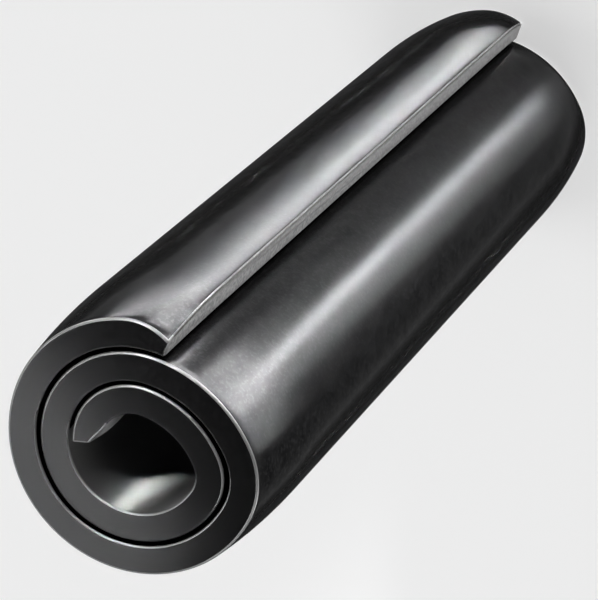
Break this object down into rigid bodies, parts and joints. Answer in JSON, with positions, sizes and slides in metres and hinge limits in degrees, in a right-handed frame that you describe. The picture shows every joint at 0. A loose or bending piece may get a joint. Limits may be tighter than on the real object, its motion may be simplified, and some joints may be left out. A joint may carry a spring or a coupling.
{
  "type": "spring roll pin",
  "caption": "Coiled spring pin: one strip of spring steel rolled into a scroll with swaged ends, pressed into a drilled hole, where it holds itself by expanding.",
  "frame": {"origin": "centre of the lower mouth, on the axis of the outer wrap", "axes": "+Z along the pin, +X from the axis to the free outer edge of the strip (the seam)"},
  "size_m": [0.0104, 0.0104, 0.045],
  "materials": {
    "black_oxide_steel": "black oxide over rolled spring steel, satin, lightly oiled"
  },
  "bodies": {
    "root": {"coiled_pin": "black_oxide_steel"}
  },
  "joints": []
}
